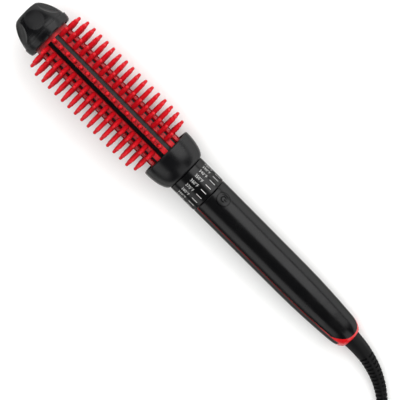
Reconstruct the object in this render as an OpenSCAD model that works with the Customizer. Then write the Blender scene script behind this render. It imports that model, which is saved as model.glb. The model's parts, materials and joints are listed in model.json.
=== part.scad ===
// Heated styling brush: a barrel with twelve rows of silicone bristles, a cool tip, a collar,
// a turning temperature dial, a two-shell handle with a power button, and a mains cord on a swivel.
// The brush is drawn along its own axis, tip at z = 0 and front towards +x, and lay_down() then
// sets it on the ground plane as it rests: on two rows of bristle tips and on the handle's tail.

/* [Barrel] */
// Outside diameter of the heated barrel
barrel_d = 25.4; // [20:0.1:31]
// Wall of the barrel
barrel_wall = 1.8; // [1.4:0.1:2.6]
// Thickness of the silicone bases on the barrel
silicone_t = 1.3; // [0.9:0.1:2]
// Length of the barrel inside the collar
barrel_in_collar = 16.2; // [12:0.1:17]

/* [Bristles] */
// Rows of bristles round the barrel
rows = 12; // [12]
// Bristles in one row
bristles_per_row = 17; // [10:1:20]
// Distance between two bristles of a row
bristle_pitch = 6.3; // [5.5:0.01:8]
// Height of a full bristle above the silicone base
bristle_h = 12.3; // [9:0.1:15]
// Height of the first and last bristle of a row
end_bristle_h = 10.3; // [8:0.1:12]
// Diameter of a bristle at its root
bristle_root_d = 3.6; // [2.8:0.1:4]
// Diameter of a bristle where its shoulder begins
bristle_neck_d = 3.2; // [2.4:0.1:3.6]
// Length of a bristle's shoulder
bristle_shoulder_l = 1; // [1:0.1:3]
// Length of the thinner end past the shoulder
bristle_nub_l = 2.5; // [2:0.1:5]
// Diameter of the thinner end at the shoulder
bristle_nub_d = 2.6; // [1.8:0.1:2.8]
// Diameter of the rounded bristle tip
bristle_tip_d = 2.4; // [1.4:0.1:2.4]
// Width of the silicone base strip under a row
strip_w = 3.7; // [3.6:0.1:5]
// Width of the keel that seats the strip in the barrel
keel_w = 2.6; // [2:0.1:3]
// Depth of the barrel groove that holds the keel
groove_depth = 0.6; // [0.4:0.1:0.8]

/* [Tip cap] */
// Length of the cool tip cap
cap_l = 24.8; // [20:0.1:32]
// Radius by which the cap's rim stands out past the silicone base
cap_overhang = 4.95; // [3.5:0.05:6]
// Height of the cap's rim band
cap_rim_h = 6.2; // [4:0.1:8]
// Flutes round the cap
flutes = 6; // [4:1:8]
// Wall of the cap
cap_wall = 2.2; // [1.6:0.1:3]
// Length of the silicone ring that shows behind the cap
tip_ring_l = 2.7; // [1.5:0.1:4]

/* [Collar and dial] */
// Length of the collar
collar_l = 19.6; // [16:0.1:24]
// Radius by which the collar's mouth stands out past the silicone base
collar_overhang = 6.4; // [4:0.1:8]
// Length of the temperature dial
dial_l = 22.4; // [20:0.1:28]
// Outside diameter of the temperature dial
dial_d = 29.5; // [27:0.1:36]
// Wall of the dial
dial_wall = 1.75; // [1.4:0.05:2.2]
// Positions marked round the dial
dial_stops = 20; // [12:1:24]
// Outside diameter of the neck that joins barrel and handle
neck_d = 18; // [16:0.1:19]
// Bore of the neck, for the heater leads
neck_bore_d = 14; // [11:0.1:14.5]

/* [Handle] */
// Length of the handle
handle_l = 142.6; // [115:0.5:175]
// Outside diameter of the handle at the dial
handle_d = 29; // [26:0.1:35]
// Wall of the two handle shells
handle_wall = 2; // [1.6:0.1:2.6]
// Turn of the front cover away from the front bristle row
cover_turn = -22; // [-40:1:40]
// Diameter of the power button
button_d = 9.6; // [8:0.1:11]
// Travel of the power button
button_travel = 0.6; // [0.4:0.1:0.8]
// Width of the trim line between the shells
trim_w = 0.6; // [0.4:0.1:1.6]

/* [Cord] */
// Diameter of the mains cord
cord_d = 6; // [6]
// Diameter of the strain relief at the handle
relief_d = 13.7; // [12:0.1:15]
// Diameter of the strain relief where the cord leaves it
relief_end_d = 7.5; // [7:0.1:8.5]
// Radius of the coil at the middle of its turns
coil_r = 33; // [30:1:36]
// Height and width of the coil's bundle, in cord diameters
coil_turns_across = 3; // [3]

/* [Clearances] */
// Radial clearance of a running fit
run_fit = 0.05; // [0.02:0.01:0.1]
// Clearance of a seated piece
seat_fit = 0.05; // [0.02:0.01:0.15]
// Gap between pieces that pass each other freely
free_gap = 0.3; // [0.2:0.05:0.5]

/* [Hidden] */
$fn = 64;

// Colours
black_gloss = "#151515";
black_satin = "#202020";
silicone_red = "#D8202A";
brass = "#B08D57";
steel = "#B5B8BA";
board_green = "#1F5A35";
ceramic_white = "#E4E0D6";
film_amber = "#C07A20";

// Places along the brush axis, from the tip
barrel_r = barrel_d / 2;
barrel_ir = barrel_r - barrel_wall;
base_r = barrel_r + silicone_t;
barrel_start = cap_l - 1.1;
ring_end = cap_l + tip_ring_l;
first_bristle = ring_end + bristle_root_d / 2;
last_bristle = first_bristle + (bristles_per_row - 1) * bristle_pitch;
last_to_collar = 6.5;
collar_start = last_bristle + last_to_collar;
collar_end = collar_start + collar_l;
dial_start = collar_end + free_gap;
dial_end = dial_start + dial_l;
handle_start = dial_end + 2 * free_gap;
handle_end = handle_start + handle_l;
relief_start = handle_end + free_gap;
hub_shaft_r = 5;

// Radii along the handle
handle_r0 = handle_d / 2;
handle_taper = 0.2;
arc_from = handle_end - 62;
arc_radius = 620;
round_from = handle_end - 12;
round_to = handle_end + 3;
function handle_arc(s) = arc_radius - sqrt(arc_radius ^ 2 - max(0, s - arc_from) ^ 2);
function handle_round(s) = (1 - (max(0, s - round_from) / (round_to - round_from)) ^ 3) ^ (1 / 3);
function handle_r(s) =
    (handle_r0 - handle_taper * (s - handle_start) / (arc_from - handle_start) - handle_arc(s))
    * handle_round(s);

// Resting attitude. Rows stand half a pitch either side of straight down, so that two rows of
// tips and the tail touch the ground; lie_angle is where both do.
row_step = 360 / rows;
roll = -row_step / 2;
tip_r = bristle_tip_d / 2;
rest_bristle = last_bristle - bristle_pitch;
tip_depth = (base_r + bristle_h - tip_r) * cos(row_step / 2);
function tip_reach(t) = tip_depth * cos(t) + rest_bristle * sin(t) + tip_r;
function tail_reach(t) =
    max([for (s = [arc_from : 0.25 : handle_end]) handle_r(s) * cos(t) + s * sin(t)]);
function resting_angle(low, high, tries) =
    let (mid = (low + high) / 2)
    tries == 0 ? mid
    : tip_reach(mid) > tail_reach(mid) ? resting_angle(mid, high, tries - 1)
    : resting_angle(low, mid, tries - 1);
lie_angle = resting_angle(0, 15, 30);
axis_height = max(tip_reach(lie_angle), tail_reach(lie_angle));
// The crown of the cap and the swivel's shaft are the two ends of the brush along the ground
crown_h = 1.2;
crown_r = 10;
low_x = -relief_start * cos(lie_angle) - hub_shaft_r * sin(lie_angle);
high_x = norm([crown_r * sin(lie_angle), crown_h * cos(lie_angle)]) - crown_h * cos(lie_angle);
origin_x = -(low_x + high_x) / 2;

module lay_down() {
    translate([origin_x, 0, axis_height])
        rotate([0, -(90 + lie_angle), 0])
            rotate([0, 0, roll])
                children();
}

// Turns what is drawn with its own front towards +x to the middle of the front cover
module to_cover() {
    rotate([0, 0, cover_turn]) children();
}

// A ring along the brush axis, from s0 to s1
module tube(r_out, r_in, s0, s1) {
    translate([0, 0, s0])
        difference() {
            cylinder(r = r_out, h = s1 - s0);
            translate([0, 0, -1]) cylinder(r = r_in, h = s1 - s0 + 2);
        }
}

// A rod along the brush axis, from s0 to s1
module rod(r, s0, s1) {
    translate([0, 0, s0]) cylinder(r = r, h = s1 - s0);
}

// A block centred on the middle plane: x from x0 to x1, width w, s from s0 to s1
module block(x0, x1, w, s0, s1) {
    translate([x0, -w / 2, s0]) cube([x1 - x0, w, s1 - s0]);
}

// A rod that stands outwards along +x at place s, from x0 to x1
module stud(r, x0, x1, s, y = 0) {
    translate([x0, y, s]) rotate([0, 90, 0]) cylinder(r = r, h = x1 - x0);
}

// ---- Tip ----

cap_rim_r = base_r + cap_overhang;
cap_neck_r = cap_rim_r - 0.75;
cap_step = cap_l - cap_rim_h;
shoulder_r = cap_neck_r - cap_wall;
insulator_t = 2.6;
insulator_s = barrel_start - insulator_t;
plug_l = 11;
boss_r = 3.6;
screw_r = 1.5;
screw_head_r = 2.8;
screw_head_h = 2.2;
cap_screw_tip = 12;
// Radius of the cap along its length: a shallow crown, then a long curve out to the rim
cap_power = 1.4;
// Place, depth and radius of a dished scoop, and its turn from the front
scoop_s = 9.6;
scoop_depth = 1.9;
scoop_r = 30;
scoop_turn = -2;
function cap_swell(t) = (1 - (1 - t) ^ cap_power) ^ (1 / cap_power);
function cap_r(s) = crown_r + (cap_neck_r - crown_r) * cap_swell((s - crown_h) / (cap_step - crown_h));

function cap_outline(in) = [
    for (k = [0 : 5]) [(crown_r - in) * sin(15 * k), crown_h + in - crown_h * cos(15 * k)],
    for (k = [1 : 14]) let (s = crown_h + (cap_step - crown_h) * (k / 14) ^ 1.6)
        [cap_r(s) - in, max(s, crown_h + in)]
];

module cap_scoop() {
    // A round dish, square on to the chord of the cap's curve
    chord = atan2(cap_neck_r - crown_r, cap_step - crown_h);
    translate([cap_r(scoop_s), 0, scoop_s])
        rotate([0, chord, 0])
            translate([scoop_r - scoop_depth, 0, 0])
                sphere(r = scoop_r, $fn = 160);
}

module tip_cap() {
    color(black_satin) lay_down()
        difference() {
            union() {
                difference() {
                    rotate_extrude() polygon(concat(cap_outline(0), [[0, cap_step]]));
                    for (k = [0 : flutes - 1])
                        rotate([0, 0, scoop_turn + 360 / flutes * k]) cap_scoop();
                }
                // rim band: a small step out, then a rounded lower edge
                rotate_extrude() polygon([
                    [0, cap_step], [cap_neck_r - 0.4, cap_step], [cap_neck_r - 0.4, cap_step + 0.3],
                    [cap_rim_r - 0.3, cap_step + 0.35], [cap_rim_r, cap_step + 0.7],
                    [cap_rim_r - 0.3, cap_step + 4], [cap_rim_r - 0.6, cap_step + 5.2],
                    [cap_rim_r - 1.2, cap_l], [0, cap_l]
                ]);
            }
            // hollow, with the boss left standing in the middle
            difference() {
                rotate_extrude() polygon([
                    [0, 5], [crown_r - 2, 5], [cap_neck_r - cap_wall - 2.4, cap_step - 2],
                    [shoulder_r - 1.4, insulator_s + 0.01], [0, insulator_s + 0.01]
                ]);
                rod(boss_r, 4, insulator_s + 1);
            }
            rod(shoulder_r, insulator_s, cap_l + 1);
            rod(screw_r + seat_fit, cap_screw_tip - 1, cap_l);
        }
}

module tip_insulator() {
    color(ceramic_white) lay_down()
        difference() {
            union() {
                rod(shoulder_r - seat_fit, insulator_s, barrel_start);
                rod(barrel_ir - seat_fit, barrel_start, barrel_start + plug_l);
            }
            rod(barrel_ir - 2, barrel_start, barrel_start + plug_l + 1);
            rod(screw_r + seat_fit, insulator_s - 1, barrel_start + 1);
        }
}

module cap_screw() {
    color(steel) lay_down()
        difference() {
            union() {
                rod(screw_r, cap_screw_tip, barrel_start + 0.1);
                rod(screw_head_r, barrel_start, barrel_start + screw_head_h);
            }
            for (turn = [0, 90])
                rotate([0, 0, turn])
                    block(-1.7, 1.7, 0.8, barrel_start + screw_head_h - 1.1, barrel_start + screw_head_h + 1);
        }
}

module silicone_tip_ring() {
    color(silicone_red) lay_down()
        tube(base_r, barrel_r + seat_fit / 2, barrel_start, ring_end);
}

// ---- Barrel and bristles ----

barrel_end = collar_start + barrel_in_collar;
groove_w = keel_w + 2 * seat_fit;
strip_end = collar_start + 4.2;

module barrel_tube() {
    color(black_gloss) lay_down()
        translate([0, 0, barrel_start])
            linear_extrude(barrel_end - barrel_start)
                difference() {
                    circle(r = barrel_r);
                    circle(r = barrel_ir);
                    for (k = [0 : rows - 1])
                        rotate(row_step * k)
                            translate([barrel_r - groove_depth, -groove_w / 2])
                                square([groove_depth + 1, groove_w]);
                }
}

module bristle(h) {
    // a slightly tapered shaft, a shoulder, and a thinner end with a round tip
    nub = h - bristle_nub_l;
    shoulder = nub - bristle_shoulder_l;
    cylinder(d1 = bristle_root_d, d2 = bristle_neck_d, h = shoulder, $fn = 24);
    translate([0, 0, shoulder])
        cylinder(d1 = bristle_neck_d, d2 = bristle_nub_d, h = bristle_shoulder_l, $fn = 24);
    translate([0, 0, nub])
        cylinder(d1 = bristle_nub_d, d2 = bristle_tip_d, h = bristle_nub_l - tip_r, $fn = 24);
    translate([0, 0, h - tip_r]) sphere(d = bristle_tip_d, $fn = 24);
}

module bristle_strip(k) {
    color(silicone_red) lay_down()
        rotate([0, 0, row_step * (k - 1)])
            union() {
                intersection() {
                    tube(base_r, barrel_r + seat_fit / 2, ring_end, strip_end);
                    block(0, base_r + 1, strip_w, ring_end, strip_end);
                }
                block(barrel_r - groove_depth + seat_fit, barrel_r + 0.5, keel_w, ring_end, strip_end);
                for (n = [0 : bristles_per_row - 1])
                    translate([base_r - 0.5, 0, first_bristle + n * bristle_pitch])
                        rotate([0, 90, 0])
                            bristle(0.5 + (n == 0 || n == bristles_per_row - 1 ? end_bristle_h : bristle_h));
            }
}

// ---- Heater inside the barrel ----

heater_start = barrel_start + 20;
heater_end = collar_start - 12;
spreader_r = barrel_ir - seat_fit;
film_x = 1.6;
film_w = 15;
film_t = 0.15;
ptc_w = 14;
ptc_t = 2.6;
lead_r = 0.8;
lead_y = 3;
fuse_r = 2;
thermistor_r = 1.1;
thermistor_x = 6;

module heat_spreader(side) {
    rotate([0, 0, side])
        difference() {
            intersection() {
                rod(spreader_r, heater_start, heater_end);
                block(film_x, barrel_r, barrel_d, heater_start, heater_end);
            }
            // one bore for the thermistor, two lightening bores
            translate([thermistor_x, 0, heater_start - 1]) cylinder(r = thermistor_r + seat_fit, h = heater_end);
            for (y = [-5, 5])
                translate([4.4, y, heater_start - 1]) cylinder(r = 1.6, h = heater_end);
        }
}

module heat_spreader_front() {
    color("#A9ACAE") lay_down() heat_spreader(0);
}

module heat_spreader_rear() {
    color("#A9ACAE") lay_down() heat_spreader(180);
}

module insulation_film() {
    // a flat sleeve of film round the ceramic stack
    color(film_amber) lay_down()
        difference() {
            block(-film_x, film_x, film_w, heater_start, heater_end + 2);
            block(-film_x + film_t, film_x - film_t, film_w - 2 * film_t, heater_start - 1, heater_end + 3);
        }
}

module ptc_heater() {
    // two ceramic plates, end to end, with a step between them
    half = (heater_end - heater_start - 1) / 2;
    color(ceramic_white) lay_down()
        for (s = [heater_start, heater_start + half + 1])
            block(-ptc_t / 2, ptc_t / 2, ptc_w, s, s + half);
}

module thermistor() {
    color("#222222") lay_down()
        translate([thermistor_x, 0, heater_end - 12])
            union() {
                cylinder(r = thermistor_r, h = 8);
                for (y = [-0.5, 0.5])
                    translate([0, y, 7]) cylinder(r = 0.25, h = 12);
            }
}

module thermal_fuse() {
    color(steel) lay_down()
        translate([-5, 0, heater_end + 3])
            union() {
                cylinder(r = fuse_r, h = 11);
                translate([0, 0, -3]) cylinder(r = 0.5, h = 17);
            }
}

module heater_leads() {
    color("#C8C8C8") lay_down()
        for (y = [-lead_y, lead_y])
            translate([0, y, heater_end + 2]) cylinder(r = lead_r, h = handle_start + 3 - heater_end);
}

// ---- Collar, neck and dial ----

socket_r = base_r + 1.2;
socket_back = 2.4;
neck_r = neck_d / 2;
collar_r = base_r + collar_overhang;
collar_back_r = 15;
collar_straight = 3.2;
dish = 2.2;
neck_flange_r = handle_r0 - handle_wall - 0.9;
neck_flange_t = 1.4;
front_wall_t = 0.9;
neck_end = handle_start + front_wall_t + 0.1 + neck_flange_t;
collar_power = 1.8;
function collar_curve(t) = (1 - t ^ collar_power) ^ (1 / collar_power);

module barrel_socket() {
    // holds the barrel's end, and carries on as the neck through the dial into the handle
    socket_end = barrel_end + socket_back;
    color(black_satin) lay_down()
        difference() {
            union() {
                rod(socket_r, collar_start + dish, socket_end);
                rod(neck_r, socket_end - 0.1, neck_end);
                rod(neck_flange_r, neck_end - neck_flange_t, neck_end);
            }
            rod(base_r + seat_fit, collar_start, strip_end);
            rod(barrel_r + seat_fit, collar_start, barrel_end);
            rod(neck_bore_d / 2, barrel_end - 1, neck_end + 1);
        }
}

module collar() {
    back_s = collar_start + collar_straight;
    color(black_satin) lay_down()
        difference() {
            rotate_extrude() polygon(concat(
                [[0, collar_start], [collar_r - 0.9, collar_start], [collar_r - 0.25, collar_start + 0.25],
                 [collar_r, collar_start + 0.9]],
                [for (k = [0 : 20]) let (t = sin(90 * k / 20))
                    [collar_back_r + (collar_r - collar_back_r) * collar_curve(t),
                     back_s + (collar_end - back_s) * t]],
                [[0, collar_end]]
            ));
            rod(socket_r + seat_fit, collar_start - 1, barrel_end + socket_back);
            rod(neck_r + seat_fit, collar_start, collar_end + 1);
            // shallow dish in the mouth
            rotate_extrude() polygon([
                [0, collar_start - 1], [collar_r - 1.6, collar_start - 1], [collar_r - 1.6, collar_start + 0.4],
                [collar_r - 2.6, collar_start + dish], [0, collar_start + dish]
            ]);
        }
}

dial_r = dial_d / 2;
dial_ir = dial_r - dial_wall;
web_s = dial_start + 9.3;
web_t = 2.5;
wiper_t = 0.3;
track_s = web_s + web_t + 1.65;
track_t = 1.6;
notch_s = track_s + track_t + 1.2;
notch_r = 0.6;

module temperature_dial() {
    edge = 0.35;
    color(black_gloss) lay_down()
        difference() {
            union() {
                difference() {
                    rotate_extrude($fn = 96) polygon([
                        [0, dial_start], [dial_r - edge, dial_start], [dial_r, dial_start + edge],
                        [dial_r, dial_end - edge], [dial_r - edge, dial_end], [0, dial_end]
                    ]);
                    rod(dial_ir, dial_start - 1, dial_end + 1);
                }
                rod(dial_ir + 0.1, web_s, web_s + web_t);
            }
            rod(neck_r + run_fit, dial_start - 1, dial_end + 1);
            for (k = [0 : dial_stops - 1])
                rotate([0, 0, 360 / dial_stops * k])
                    translate([dial_ir, 0, notch_s]) cylinder(r = notch_r, h = dial_end - notch_s - 1);
        }
}

module dial_wiper() {
    // a leaf on the dial's web whose point runs over the track
    color(brass) lay_down()
        translate([0, 0, web_s + web_t])
            union() {
                rotate_extrude(angle = 70) translate([neck_r + 1, 0]) square([2.4, wiper_t]);
                rotate([0, 0, 35])
                    translate([neck_r + 2.2, 0, 0]) cylinder(r = 0.8, h = track_s - web_s - web_t - run_fit, $fn = 24);
            }
}

module track_ring() {
    color(board_green) lay_down()
        tube(dial_ir - 0.6, neck_r + seat_fit, track_s, track_s + track_t);
}

module detent_spring() {
    // a band on the neck with a finger that stands in front of one notch
    bump_r = 0.55;
    color(steel) lay_down()
        union() {
            tube(neck_r + 0.7, neck_r + seat_fit, notch_s, notch_s + 4);
            block(neck_r + 0.4, dial_ir - 0.1 - bump_r, 2, notch_s + 0.8, notch_s + 3.2);
            translate([dial_ir - 0.1 - bump_r, 0, notch_s + 0.8]) cylinder(r = bump_r, h = 2.4, $fn = 24);
        }
}

// ---- Handle ----

pocket_s = handle_start + front_wall_t;
rib_s = neck_end + 0.1;
rib_t = 1.2;
hub_flange_r = 7.2;
hub_flange_t = 3.9;
hub_core_r = 3.6;
bearing_s = handle_end - 13.3;
rear_end = handle_end - 4.3;
cover_tail = handle_end - 1.7;
seam_x = handle_r0 * cos(75);
u_from = handle_end - 27;
u_power = 2.5;
u_w = handle_r(u_from);
board_s = rib_s + rib_t + 0.2;
board_l = 62;
board_x = 4;
board_t = 1.6;
board_w = 19;
button_s = handle_start + 8.1;
button_r = button_d / 2;
button_gap = 0.4;
button_ring_r = 3.4;
button_ring_w = 0.8;
button_ring_depth = 0.4;
button_flange_r = button_r + 0.7;
button_flange_top = handle_r0 - 3.65;
button_flange_t = 1;
screw_places = [handle_end - 66, handle_end - 40];
boss_gap = 0.1;
trim_sink = 0.22;
trim_rise = 12;

function outer_curve() = [
    for (s = [handle_start + 0.4 : 12 : round_from - 1]) [handle_r(s), s],
    for (k = [0 : 15]) let (s = round_from + (handle_end - round_from) * k / 15) [handle_r(s), s]
];
function inner_curve() = [
    for (k = [10 : -1 : 0]) let (s = rib_s + rib_t + (bearing_s - rib_s - rib_t) * k / 10)
        [handle_r(s) - handle_wall, s]
];

// The whole wall of the handle before it is parted: front wall, flange pocket, rib and tail bearing
module handle_wall_solid() {
    rotate_extrude($fn = 96) polygon(concat(
        [[neck_r + seat_fit, handle_start], [handle_r0 - 0.3, handle_start]],
        outer_curve(),
        [[hub_shaft_r + run_fit, handle_end], [hub_shaft_r + run_fit, bearing_s]],
        inner_curve(),
        [[neck_r + seat_fit + 0.6, rib_s + rib_t], [neck_r + seat_fit + 0.6, rib_s],
         [neck_flange_r + seat_fit, rib_s], [neck_flange_r + seat_fit, pocket_s],
         [neck_r + seat_fit, pocket_s]]
    ));
}

// What lies inside the handle's outside surface
module handle_envelope() {
    rotate_extrude() polygon(concat(
        [[0, handle_start], [handle_r0 - 0.5, handle_start]],
        [for (p = outer_curve()) [p[0] - 0.2, p[1]]],
        [[0, handle_end]]
    ));
}

// The front cover's share: in front of the seam plane, and inside a tongue that ends in a U
module cover_zone(grow) {
    u_points = [for (k = [0 : 24]) let (a = 90 * k / 24)
        [(u_w + grow) * cos(a) ^ (2 / u_power), u_from + (cover_tail + grow - u_from) * sin(a) ^ (2 / u_power)]];
    outline = concat(
        [[-30, handle_start - 1], [30, handle_start - 1], [30, u_from]],
        u_points,
        [for (k = [23 : -1 : 0]) [-u_points[k][0], u_points[k][1]]],
        [[-30, u_from]]
    );
    to_cover()
        translate([seam_x - grow, 0, 0])
            rotate([90, 0, 90])
                linear_extrude(20) polygon(outline);
}

module handle_bosses(r, x0, x1) {
    intersection() {
        handle_envelope();
        to_cover() for (s = screw_places) stud(r, x0, x1, s);
    }
}

module handle_front_cover() {
    color(black_gloss) lay_down()
        difference() {
            union() {
                intersection() {
                    handle_wall_solid();
                    cover_zone(0);
                }
                handle_bosses(2.8, boss_gap / 2, handle_r0);
            }
            to_cover() {
                for (s = screw_places) stud(1.2 + seat_fit, -1, 8, s);
                stud(button_r + button_gap, 5, handle_r0 + 1, button_s);
                stud(button_flange_r + button_gap, 5, button_flange_top + seat_fit, button_s);
            }
        }
}

module handle_rear_shell() {
    color(black_gloss) lay_down()
        difference() {
            union() {
                difference() {
                    handle_wall_solid();
                    to_cover() block(seam_x - trim_w, 30, 60, handle_start - 1, handle_end + 1);
                    rod(20, rear_end, handle_end + 1);
                }
                handle_bosses(3.4, -handle_r0, -boss_gap / 2);
                board_ribs();
            }
            to_cover() for (s = screw_places) {
                stud(1.4, -handle_r0 - 1, 1, s);
                stud(2.7, -handle_r0 - 1, -8, s);
            }
        }
}

// Two ribs in the rear shell that the control board rests on
module board_ribs() {
    intersection() {
        handle_envelope();
        to_cover()
            for (s = [board_s + 12, board_s + board_l - 12])
                difference() {
                    block(-handle_r0, board_x, 2 * board_w, s, s + 1.5);
                    rod(6, s - 1, s + 3);
                    block(-1, board_x + 1, 12, s - 1, s + 3);
                    block(seam_x - trim_w, 20, 60, s - 1, s + 3);
                }
    }
    to_cover()
        for (s = [board_s + 12, board_s + board_l - 12], side = [-1, 1])
            translate([0, side * 7.5, 0]) block(seam_x - trim_w - 1, board_x, 2.4, s, s + 1.5);
}

// Clears the trim's outside: it lies below the shells along the seam and comes up flush at the tail
module trim_relief() {
    rotate_extrude($fn = 96) polygon(concat(
        [[handle_r0 + 1, handle_start - 1], [handle_r0 - trim_sink, handle_start - 1]],
        [for (k = [0 : 10]) let (s = handle_start + (u_from - handle_start) * k / 10)
            [handle_r(s) - trim_sink, s]],
        [[handle_r(u_from + trim_rise) + 0.1, u_from + trim_rise], [handle_r0 + 1, u_from + trim_rise]]
    ));
}

module red_trim() {
    color(silicone_red) lay_down()
        difference() {
            intersection() {
                handle_wall_solid();
                union() {
                    to_cover() block(seam_x - trim_w, 30, 60, handle_start - 1, handle_end + 1);
                    rod(20, rear_end, handle_end + 1);
                }
            }
            cover_zone(0);
            trim_relief();
        }
}

module power_button() {
    color(black_gloss) lay_down() to_cover()
        union() {
            difference() {
                intersection() {
                    stud(button_r, button_flange_top - 0.1, handle_r0 + 1, button_s);
                    rod(handle_r(button_s) + 0.15, button_s - 8, button_s + 8);
                }
                // a fine ring cut round the face
                difference() {
                    stud(button_ring_r, 5, handle_r0 + 2, button_s);
                    stud(button_ring_r - button_ring_w, 4, handle_r0 + 3, button_s);
                    rod(handle_r(button_s) + 0.15 - button_ring_depth, button_s - 8, button_s + 8);
                }
            }
            stud(button_flange_r, button_flange_top - button_flange_t, button_flange_top, button_s);
        }
}

plunger_r = 1.75;
switch_base = board_x + board_t;
switch_h = 3;
// Bottom of the hole that the plunger runs in, and the plunger's rest above it
plunger_floor = switch_base + 0.2;
plunger_rest = plunger_floor + button_travel + 0.1;

module switch_plunger() {
    color("#303030") lay_down() to_cover()
        stud(plunger_r, plunger_rest, button_flange_top - button_flange_t, button_s);
}

module tact_switch() {
    color(steel) lay_down() to_cover()
        difference() {
            block(switch_base, switch_base + switch_h, 6, button_s - 3, button_s + 3);
            stud(plunger_r + run_fit, plunger_floor, switch_base + switch_h + 1, button_s);
        }
}

module control_board() {
    color(board_green) lay_down() to_cover()
        block(board_x, board_x + board_t, board_w, board_s, board_s + board_l);
}

module board_parts() {
    top = board_x + board_t;
    color("#303236") lay_down() to_cover() {
        // controller chip, capacitor, power switch and its fin, terminal block
        block(top, top + 1.5, 6, board_s + 14, board_s + 22);
        translate([top + 3.2, 0, board_s + 27]) cylinder(r = 3.2, h = 11);
        block(top, top + 4.4, 9, board_s + 42, board_s + 45);
        block(top, top + 4, 12, board_s + 50, board_s + 58);
    }
}

module handle_screws() {
    color(steel) lay_down() to_cover()
        for (s = screw_places)
            difference() {
                union() {
                    stud(1.2, -8.1, 6.5, s);
                    stud(2.4, -9.6, -8, s);
                }
                for (size = [[2.6, 0.7], [0.7, 2.6]])
                    translate([-10, -size[0] / 2, s - size[1] / 2]) cube([1.2, size[0], size[1]]);
            }
}

// ---- Cord swivel ----

hub_front = handle_end - 31;
flange_back = bearing_s - 0.1;
ring_places = [hub_front + 2, hub_front + 7];
slip_ring_w = 2.5;
slip_ring_r = hub_core_r + 1;
wire_bore_r = 2;

module swivel_hub() {
    color(black_satin) lay_down()
        difference() {
            union() {
                rod(hub_core_r, hub_front, flange_back);
                rod(hub_flange_r, flange_back - hub_flange_t, flange_back);
                rod(hub_shaft_r, flange_back - 0.1, relief_start);
            }
            rod(wire_bore_r, hub_front - 1, relief_start + 1);
        }
}

module slip_rings() {
    color(brass) lay_down()
        for (s = ring_places)
            tube(slip_ring_r, hub_core_r + seat_fit / 2, s, s + slip_ring_w);
}

module contact_springs() {
    // one leaf under each slip ring, bent down into the block
    leaf_t = 0.4;
    color(brass) lay_down() to_cover()
        for (s = ring_places) {
            block(-slip_ring_r - run_fit - leaf_t, -slip_ring_r - run_fit, 6, s + 0.3, s + slip_ring_w - 0.3);
            translate([0, 2.8, 0])
                block(-slip_ring_r - 2.2, -slip_ring_r - run_fit - 0.1, leaf_t, s + 0.3, s + slip_ring_w - 0.3);
        }
}

module contact_block() {
    base_x = -(handle_r(hub_front + 12) - handle_wall - 0.6);
    color("#3A3A3A") lay_down() to_cover()
        difference() {
            block(base_x, -slip_ring_r - run_fit - 0.4, 7, hub_front + 1, hub_front + 11);
            for (s = ring_places)
                translate([0, 2.8, 0])
                    block(-slip_ring_r - 2.2 - seat_fit, 0, 0.5, s + 0.25, s + slip_ring_w - 0.25);
        }
}

// ---- Cord, coil, tie and plug, on the ground plane ----

// Where the strain relief leaves the handle, and the way it points there
tail_s = relief_start + seat_fit / 2;
tail_point = [origin_x - tail_s * cos(lie_angle), 0, axis_height - tail_s * sin(lie_angle)];
tail_way = [-cos(lie_angle), 0, -sin(lie_angle)];
// Points of the lead from the strain relief to the coil
lead_points = [
    [-216, 21.6, 4], [-227, 31.5, 3.7], [-239.5, 40.5, 3.5], [-252.5, 47.8, 3.5], [-266.5, 52.5, 3.5]
];
// Centre of the coil, and the thickness of the tie that it lies on
coil_centre = [-280, 16];
tie_t = 0.5;
bundle = coil_turns_across * cord_d;
coil_top = tie_t + bundle;
// Points of the cord's end, from the coil's last turn over its top to the plug
end_points = [
    [-251, 0.5, 19.5], [-245.5, 13, 21], [-244.5, 25, 21.5], [-247.5, 36.5, 21.5], [-254.5, 46, 21.8],
    [-264.5, 50.8, 22.6], [-275.5, 51, 23.8], [-283.5, 48, 25.2], [-289.6, 41.9, 26.2], [-291.5, 38, 26.5]
];
plug_yaw = 245;
plug_tail = 22;
plug_l_body = 30;
plug_w = 23;
plug_h = 16;
blade_l = 17;
blade_gap = 12.7;
blade_w = 6.35;
blade_t = 1.5;

function unit(v) = v / norm(v);
// Direction of a line of points at point i
function way_at(points, i) =
    unit(points[min(i + 1, len(points) - 1)] - points[max(i - 1, 0)]);
// One ring of n points round p, square to the way w
function ring_at(p, w, r, n) =
    let (side = unit(cross(w, [0, 0, 1])), up = cross(side, w))
    [for (k = [0 : n - 1]) p + r * (cos(360 * k / n) * side + sin(360 * k / n) * up)];

// A closed tube through points, with a radius for each
module swept_tube(points, radii, n) {
    count = len(points);
    rings = [for (i = [0 : count - 1]) each ring_at(points[i], way_at(points, i), radii[i], n)];
    sides = [for (i = [0 : count - 2], k = [0 : n - 1])
        [i * n + k, i * n + (k + 1) % n, (i + 1) * n + (k + 1) % n, (i + 1) * n + k]];
    polyhedron(
        points = rings,
        faces = concat([[for (k = [n - 1 : -1 : 0]) k]], sides, [[for (k = [0 : n - 1]) (count - 1) * n + k]]),
        convexity = 4
    );
}

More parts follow.
